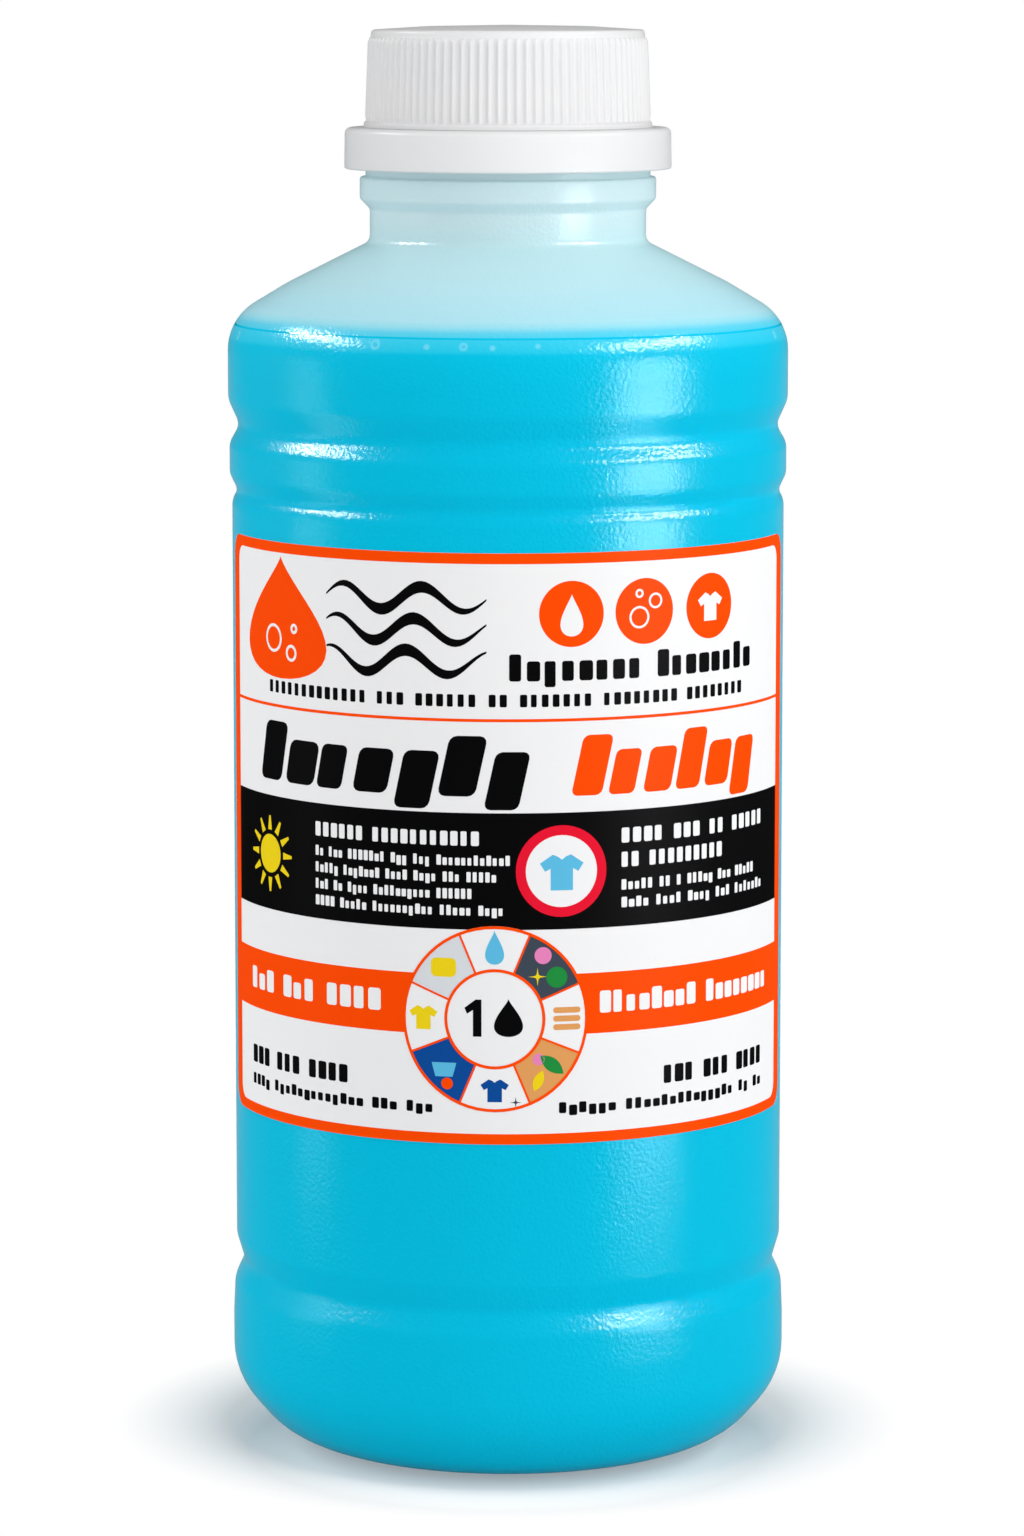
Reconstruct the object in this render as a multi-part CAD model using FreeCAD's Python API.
"""A one-litre round bottle of laundry liquid: blown bottle, liquid, wrapped label, screw cap and tamper band.

Millimetres. The origin is the middle of the base, +Z runs up the bottle's axis, and the label faces -Y.
"""
import FreeCAD, Part
import math
import os

Vector = FreeCAD.Vector
AXIS = Vector(0, 0, 1)
CENTRE = Vector(0, 0, 0)
TOWARDS_LABEL = 270.0  # degrees round from +X to the middle of the label
ARC_SHARE = 0.48  # the most of a straight run that the rounding at one end may take up
LEAST_TURN = math.radians(1)  # corners that turn less are left as they are

# The base
push_up_height = 5.0
push_up_shelf_height = 4.0
push_up_shelf_radius = 18.5
foot_inner_radius = 24.0
foot_outer_corner_radius = 38.2
foot_outer_rounding = 16.8
heel_corner_height = 14.3
heel_rounding = 20.2

# The body, from the heel up to the cone
band_radius = 43.7
band_top_height = 23.6
band_rounding = 6.0
low_groove_radius = 41.9
low_groove_drop = 5.9
low_groove_rise = 3.5
groove_rounding = 2.4
panel_radius = 43.25
panel_height = 115.8
panel_rounding = 3.5
thin_groove_radius = 42.35
thin_groove_half_width = 2.6
ring_radius = 43.55
ring_height = 4.6
ring_rounding = 3.0
high_groove_radius = 41.8
high_groove_half_width = 3.8
shoulder_radius = 43.8
shoulder_height = 12.8
shoulder_rounding = 13.0
shoulder_groove_rounding = 4.0
cone_angle = 27.2  # degrees above level
body_wall = 0.8
inside_least_rounding = 8.0  # smaller roundings are sharp on the inside
inside_chord_turn = 24.0  # degrees that each straight run turns in the inside's broad roundings

# The neck, from the cone up to the lip
neck_radius = 21.55
neck_root_rounding = 1.8
neck_height = 4.7
neck_wall = 2.0
bead_radius = 23.1
bead_taper_height = 1.6
bead_height = 3.4
bead_chamfer = 0.6
collar_radius = 22.2
collar_height = 1.2
band_seat_radius = 21.2
lock_ring_radius = 23.0
lock_ring_rise = 2.6
lock_ring_edge = 0.9
lock_ring_ramp = 1.3
finish_radius = 19.3
finish_height = 20.0
bore_radius = 17.0
bore_funnel_height = 3.2
lip_chamfer = 0.5

# The liquid
fill_height = 178.9
liquid_clearance = 0.03

# The tamper band
tamper_radius = 25.5
tamper_height = 6.4
tamper_wall = 1.4
tamper_web = 1.0
tamper_hook_height = 1.9
tamper_hook_slope = 0.8
tamper_hook_clearance = 0.4
tamper_low_chamfer = 0.25
tamper_high_chamfer = 0.6

# The screw cap and its liner
thread_depth = 1.05
thread_clearance = 0.25
cap_foot_radius = 22.45
cap_foot_height = 0.9
rib_count = 96
rib_low_radius = 22.25
rib_high_radius = 21.75
rib_depth = 0.34
rib_length = 13.0
rib_end = 0.5
rib_crest_share = 0.2
rib_root_share = 0.52
cap_rim_radius = 21.35
cap_rim_chamfer = 0.55
cap_dome = 0.7
cap_crown_radius = 12.0
cap_top_wall = 1.2
liner_thickness = 1.0
liner_side_clearance = 0.2

# The label and the fields of colour printed on it
label_width = 117.8
label_low_margin = 22.3
label_high_margin = 3.4
label_corner = 3.4
label_glue = 0.05
label_thickness = 0.15
print_thickness = 0.08
frame_side_width = 3.2
frame_end_width = 1.6
frame_inner_corner = 2.2
rule_height = 64.7
rule_width = 0.5
black_band_height = 32.9
black_band_width = 17.8
orange_band_height = 16.8
orange_band_width = 9.3
wheel_offset = -2.0
wheel_height = 19.3
wheel_radius = 14.3
wheel_hole_radius = 7.7
wheel_line = 0.45
spot_radius = 5.0
spot_height = 80.8
spot_first_offset = 9.7
spot_spacing = 12.0
spot_count = 3

# Heights worked out from the sizes above
low_groove_height = band_top_height + low_groove_drop
panel_low = low_groove_height + low_groove_rise
panel_high = panel_low + panel_height
thin_groove_height = panel_high + thin_groove_half_width
ring_low = thin_groove_height + thin_groove_half_width
ring_high = ring_low + ring_height
high_groove_height = ring_high + high_groove_half_width
shoulder_low = high_groove_height + high_groove_half_width
cone_low = shoulder_low + shoulder_height
cone_high = cone_low + (shoulder_radius - neck_radius) * math.tan(math.radians(cone_angle))
bead_taper_low = cone_high + neck_height
bead_low = bead_taper_low + bead_taper_height
bead_high = bead_low + bead_height
collar_high = bead_high + collar_height
lip_height = collar_high + finish_height
tamper_top = collar_high + tamper_height
cap_bore_radius = finish_radius + thread_depth + thread_clearance
cap_ceiling = lip_height + liner_thickness
cap_top = cap_ceiling + cap_top_wall
label_low = panel_low + label_low_margin
label_high = panel_high - label_high_margin
label_inner_radius = panel_radius + label_glue
label_outer_radius = label_inner_radius + label_thickness
print_outer_radius = label_outer_radius + print_thickness


def unit(from_point, to_point):
    """The direction from one (radius, height) point to another, and the distance."""
    dr = to_point[0] - from_point[0]
    dz = to_point[1] - from_point[1]
    length = math.hypot(dr, dz)
    return dr / length, dz / length, length


def corner_arc(before, corner, after):
    """The arc, tangent to both runs, that rounds a (radius, height, rounding) corner, or None if it stays sharp."""
    in_r, in_z, in_length = unit(before, corner)
    out_r, out_z, out_length = unit(corner, after)
    turn = math.atan2(in_r * out_z - in_z * out_r, in_r * out_r + in_z * out_z)
    if corner[2] == 0 or abs(turn) < LEAST_TURN:
        return None
    half_tangent = math.tan(abs(turn) / 2)
    rounding = min(corner[2], ARC_SHARE * min(in_length, out_length) / half_tangent)
    tangent = rounding * half_tangent
    side = math.copysign(rounding, turn)
    point = Vector(corner[0], 0, corner[1])
    start = point - Vector(in_r, 0, in_z) * tangent
    end = point + Vector(out_r, 0, out_z) * tangent
    centre = start + Vector(-in_z, 0, in_r) * side
    middle = centre + (point - centre).normalize() * rounding
    return Part.Arc(start, middle, end)


def profile_edges(corners):
    """Straight runs through (radius, height, rounding) corners, joined by tangent arcs."""
    edges = []
    start = Vector(corners[0][0], 0, corners[0][1])
    for before, corner, after in zip(corners, corners[1:], corners[2:]):
        arc = corner_arc(before, corner, after)
        if arc is None:
            end = Vector(corner[0], 0, corner[1])
            edges.append(Part.makeLine(start, end))
            start = end
        else:
            edges.append(Part.makeLine(start, arc.StartPoint))
            edges.append(arc.toShape())
            start = arc.EndPoint
    edges.append(Part.makeLine(start, Vector(corners[-1][0], 0, corners[-1][1])))
    return edges


def chorded(corners):
    """The same corners with each broad rounding cut into short straight runs and each small one left sharp."""
    points = [corners[0]]
    for before, corner, after in zip(corners, corners[1:], corners[2:]):
        arc = corner_arc(before, corner, after)
        if arc is None or corner[2] < inside_least_rounding:
            points.append((corner[0], corner[1], 0))
            continue
        sweep = math.degrees(arc.LastParameter - arc.FirstParameter)
        count = math.ceil(sweep / inside_chord_turn)
        for point in arc.discretize(count + 1):
            points.append((point.x, point.z, 0))
    return points + [corners[-1]]


def turned(corners):
    """The solid that the closed outline through the corners makes when it turns about the axis."""
    edges = profile_edges(corners)
    first = edges[0].Vertexes[0].Point
    last = edges[-1].Vertexes[-1].Point
    edges.append(Part.makeLine(last, first))
    return Part.Face(Part.Wire(edges)).revolve(CENTRE, AXIS, 360)


def offset_inwards(corners, distance):
    """The corners of the line that runs a distance inside a wall's outer face, with roundings to suit."""
    moved = []
    for i, (radius, height, rounding) in enumerate(corners):
        before = corners[max(i - 1, 0)]
        after = corners[min(i + 1, len(corners) - 1)]
        if i == 0:
            out_r, out_z, _ = unit(corners[i], after)
            in_r, in_z = 1.0, 0.0  # the outline crosses the axis level
        else:
            in_r, in_z, _ = unit(before, corners[i])
            out_r, out_z = in_r, in_z
            if i < len(corners) - 1:
                out_r, out_z, _ = unit(corners[i], after)
        share = distance / (1 + in_r * out_r + in_z * out_z)
        turns_left = in_r * out_z - in_z * out_r > 0
        new_rounding = rounding - distance if turns_left else rounding + distance
        if rounding == 0:
            new_rounding = 0
        moved.append((radius - (in_z + out_z) * share, height + (in_r + out_r) * share, max(new_rounding, 0)))
    return [(0, moved[0][1], 0)] + moved[1:]


def body_corners():
    """The outside of the bottle from the middle of the base to the foot of the neck."""
    return [
        (0, push_up_height, 0),
        (push_up_shelf_radius, push_up_shelf_height, 0),
        (foot_inner_radius, 0, 0),
        (foot_outer_corner_radius, 0, foot_outer_rounding),
        (band_radius, heel_corner_height, heel_rounding),
        (band_radius, band_top_height, band_rounding),
        (low_groove_radius, low_groove_height, groove_rounding),
        (panel_radius, panel_low, panel_rounding),
        (panel_radius, panel_high, panel_rounding),
        (thin_groove_radius, thin_groove_height, groove_rounding),
        (ring_radius, ring_low, ring_rounding),
        (ring_radius, ring_high, ring_rounding),
        (high_groove_radius, high_groove_height, groove_rounding),
        (shoulder_radius, shoulder_low, shoulder_groove_rounding),
        (shoulder_radius, cone_low, shoulder_rounding),
        (neck_radius, cone_high, neck_root_rounding),
    ]


def neck_corners():
    """The outside of the neck, from the cone's top to the lip: bead, collar, locking ring and finish."""
    lock_low = collar_high + lock_ring_rise
    lock_high = lock_low + lock_ring_edge
    ramp_high = lock_high + lock_ring_ramp
    return [
        (neck_radius, bead_taper_low, 0),
        (bead_radius, bead_low, 0),
        (bead_radius, bead_high - bead_chamfer, 0),
        (bead_radius - bead_chamfer, bead_high, 0),
        (collar_radius, bead_high, 0),
        (collar_radius, collar_high, 0),
        (band_seat_radius, collar_high, 0),
        (band_seat_radius, lock_low, 0),
        (lock_ring_radius, lock_low, 0),
        (lock_ring_radius, lock_high, 0),
        (band_seat_radius, ramp_high, 0),
        (finish_radius, ramp_high, 0),
        (finish_radius, lip_height - lip_chamfer, 0),
        (finish_radius - lip_chamfer, lip_height, 0),
    ]


def cavity_corners():
    """The inside of the bottle, from the middle of the base to the top of the bore."""
    body = chorded(offset_inwards(body_corners(), body_wall))
    throat_radius = neck_radius - neck_wall
    throat_low = body[-1][1] + (body[-1][0] - throat_radius) * math.tan(math.radians(cone_angle))
    return body[:-1] + [
        (throat_radius, throat_low, 0),
        (throat_radius, collar_high - bore_funnel_height, 0),
        (bore_radius, collar_high, 0),
        (bore_radius, lip_height - lip_chamfer, 0),
        (bore_radius + lip_chamfer, lip_height, 0),
    ]


def make_bottle():
    """The blown bottle: one hollow shell from the pushed-up base to the open lip."""
    outside = body_corners() + neck_corners()
    inside = cavity_corners()
    inside.reverse()
    return turned(outside + inside)


def make_liquid():
    """The liquid up to the fill line, as the inside of the bottle less a hair's clearance."""
    shape = chorded(offset_inwards(body_corners(), body_wall + liquid_clearance))
    above = shape[-1][1]
    full = turned(shape + [(0, above, 0)])
    below_line = Part.makeCylinder(band_radius + shoulder_radius, fill_height)
    return full.common(below_line)


def wrapped_strip(inner, outer, arc_from, arc_to, low, high):
    """A thin strip round the panel, between two distances measured along the label's face."""
    start = math.degrees(arc_from / label_outer_radius)
    sweep = math.degrees((arc_to - arc_from) / label_outer_radius)
    corners = [Vector(inner, 0, low), Vector(outer, 0, low), Vector(outer, 0, high), Vector(inner, 0, high)]
    section = Part.Face(Part.makePolygon(corners + corners[:1]))
    section.rotate(CENTRE, AXIS, TOWARDS_LABEL + start)
    return section.revolve(CENTRE, AXIS, sweep)


def wrapped_disc(inner, outer, arc, height, radius):
    """A thin round spot on the panel: a round bar that points at the axis, trimmed to the sheet."""
    reach = outer - inner
    bar = Part.makeCylinder(radius, inner, Vector(reach + inner / 2, 0, height), Vector(1, 0, 0))
    bar.rotate(CENTRE, AXIS, TOWARDS_LABEL + math.degrees(arc / label_outer_radius))
    margin = radius + reach
    sheet = wrapped_strip(inner, outer, arc - margin, arc + margin, height - margin, height + margin)
    return sheet.common(bar)


def wrapped_panel(inner, outer, half_width, low, high, corner):
    """A thin rounded rectangle wrapped round the panel and centred on the label."""
    pieces = [wrapped_strip(inner, outer, -half_width, half_width, low + corner, high - corner)]
    pieces.append(wrapped_strip(inner, outer, corner - half_width, half_width - corner, low, high))
    for side in (-1, 1):
        for height in (low + corner, high - corner):
            pieces.append(wrapped_disc(inner, outer, side * (half_width - corner), height, corner))
    return pieces[0].multiFuse(pieces[1:]).removeSplitter()


def make_label():
    """The white film, on its layer of glue round the panel."""
    half_width = label_width / 2
    return wrapped_panel(label_inner_radius, label_outer_radius, half_width, label_low, label_high, label_corner)


def printed_strip(arc_from, arc_to, low, width):
    """A strip of ink on the label's face."""
    return wrapped_strip(label_outer_radius, print_outer_radius, arc_from, arc_to, low, low + width)


def printed_disc(arc, height, radius):
    """A round spot of ink on the label's face."""
    return wrapped_disc(label_outer_radius, print_outer_radius, arc, height, radius)


def print_width():
    """Half the width that the frame leaves inside it."""
    return label_width / 2 - frame_side_width


def make_orange_print():
    """The orange ink: frame, thin rule, the two halves of the low band, the wheel's rims and the spots."""
    inner, outer = label_outer_radius, print_outer_radius
    half = print_width()
    wheel_z = label_low + wheel_height
    sheet = wrapped_panel(inner, outer, label_width / 2, label_low, label_high, label_corner)
    window_low = label_low + frame_end_width
    window_high = label_high - frame_end_width
    window = wrapped_panel(inner, outer, half, window_low, window_high, frame_inner_corner)
    frame = sheet.cut(window)
    rule = printed_strip(-half, half, label_low + rule_height, rule_width)
    band = printed_strip(-half, half, label_low + orange_band_height, orange_band_width)
    wheel = printed_disc(wheel_offset, wheel_z, wheel_radius)
    wheel_inside = printed_disc(wheel_offset, wheel_z, wheel_radius - wheel_line)
    hub = printed_disc(wheel_offset, wheel_z, wheel_hole_radius)
    hub_inside = printed_disc(wheel_offset, wheel_z, wheel_hole_radius - wheel_line)
    strips = frame.multiFuse([rule, band.cut(wheel), wheel.cut(wheel_inside)]).removeSplitter()
    loose = [hub.cut(hub_inside)]
    for i in range(spot_count):
        loose.append(printed_disc(spot_first_offset + i * spot_spacing, label_low + spot_height, spot_radius))
    return Part.makeCompound(strips.Solids + [solid for spot in loose for solid in spot.Solids])


def make_black_print():
    """The black ink: the broad band, with the wheel's rim let into its low edge."""
    half = print_width()
    band = printed_strip(-half, half, label_low + black_band_height, black_band_width)
    wheel = printed_disc(wheel_offset, label_low + wheel_height, wheel_radius)
    return band.cut(wheel)


def make_tamper_band():
    """The ring left on the neck: its hook seats on the collar under the locking ring, and the cap stands on it."""
    hook_radius = band_seat_radius + tamper_hook_clearance
    inner_radius = tamper_radius - tamper_wall
    web_low = tamper_top - tamper_web
    hook_top = collar_high + tamper_hook_height
    return turned([
        (hook_radius, collar_high, 0),
        (tamper_radius - tamper_low_chamfer, collar_high, 0),
        (tamper_radius, collar_high + tamper_low_chamfer, 0),
        (tamper_radius, tamper_top - tamper_high_chamfer, 0),
        (tamper_radius - tamper_high_chamfer, tamper_top, 0),
        (cap_bore_radius, tamper_top, 0),
        (cap_bore_radius, web_low, 0),
        (inner_radius, web_low, 0),
        (inner_radius, hook_top, 0),
        (hook_radius, hook_top - tamper_hook_slope, 0),
    ])


def ring_points(radius, height, shares):
    """Points round the axis, at the given shares of each rib's pitch."""
    points = []
    for i in range(rib_count):
        for share in shares:
            angle = 2 * math.pi * (i + share) / rib_count
            points.append(Vector(radius * math.cos(angle), radius * math.sin(angle), height))
    return points


def flat_face(points):
    """The flat face inside a closed run of points."""
    return Part.Face(Part.makePolygon(points + points[:1]))


def make_ribbed_skirt(low):
    """The grip: a tapered skirt of flat facets, whose ribs run out into it at both ends."""
    taper = rib_high_radius / rib_low_radius
    root_shares = (-rib_root_share / 2, rib_root_share / 2)
    crest_shares = (-rib_crest_share / 2, rib_crest_share / 2)
    levels = []
    for rise in (0, rib_end, rib_length - rib_end, rib_length):
        scale = 1 + (taper - 1) * rise / rib_length
        root = ring_points((rib_low_radius - rib_depth) * scale, low + rise, root_shares)
        crest = ring_points(rib_low_radius * scale, low + rise, crest_shares)
        levels.append((root, crest))
    (foot, _), (_, crest_low), (_, crest_high), (head, _) = levels
    faces = [flat_face(foot), flat_face(head)]
    for left in range(0, 2 * rib_count, 2):
        right = left + 1
        beyond = (left + 2) % (2 * rib_count)
        faces.append(flat_face([foot[right], foot[beyond], head[beyond], head[right]]))
        faces.append(flat_face([crest_low[left], crest_low[right], crest_high[right], crest_high[left]]))
        faces.append(flat_face([foot[left], foot[right], crest_low[right], crest_low[left]]))
        faces.append(flat_face([crest_high[left], crest_high[right], head[right], head[left]]))
        for side in (left, right):
            faces.append(flat_face([foot[side], crest_low[side], crest_high[side]]))
            faces.append(flat_face([foot[side], crest_high[side], head[side]]))
    return Part.Solid(Part.Shell(faces))


def make_screw_cap():
    """The cap: plain foot, ribbed skirt and domed top over a plain bore."""
    ribs_low = tamper_top + cap_foot_height
    ribs_high = ribs_low + rib_length
    rim_high = cap_top - cap_dome
    foot = turned([
        (cap_bore_radius, tamper_top, 0),
        (cap_foot_radius, tamper_top, 0),
        (cap_foot_radius, ribs_low, 0),
        (cap_bore_radius, ribs_low, 0),
    ])
    top = turned([
        (0, ribs_high, 0),
        (cap_rim_radius, ribs_high, 0),
        (cap_rim_radius, rim_high - cap_rim_chamfer, 0),
        (cap_rim_radius - cap_rim_chamfer, rim_high, 0),
        (cap_crown_radius, cap_top, 0),
        (0, cap_top, 0),
    ])
    bore = Part.makeCylinder(cap_bore_radius, cap_ceiling - tamper_top, Vector(0, 0, tamper_top))
    return make_ribbed_skirt(ribs_low).multiFuse([foot, top]).cut(bore)


def make_liner():
    """The foam disc in the cap's top that seals on the lip."""
    radius = cap_bore_radius - liner_side_clearance
    return Part.makeCylinder(radius, liner_thickness, Vector(0, 0, lip_height))


def write_parts():
    """Build every piece and write it to its own file."""
    pieces = {
        "bottle": make_bottle(),
        "laundry_liquid": make_liquid(),
        "label": make_label(),
        "label_print_orange": make_orange_print(),
        "label_print_black": make_black_print(),
        "tamper_band": make_tamper_band(),
        "cap_liner": make_liner(),
        "screw_cap": make_screw_cap(),
    }
    os.makedirs("parts", exist_ok=True)
    for name, shape in pieces.items():
        shape.exportStep("parts/" + name + ".step")
        print(name, len(shape.Solids), "solids", round(shape.Volume / 1000, 2), "ml", shape.isValid())


write_parts()
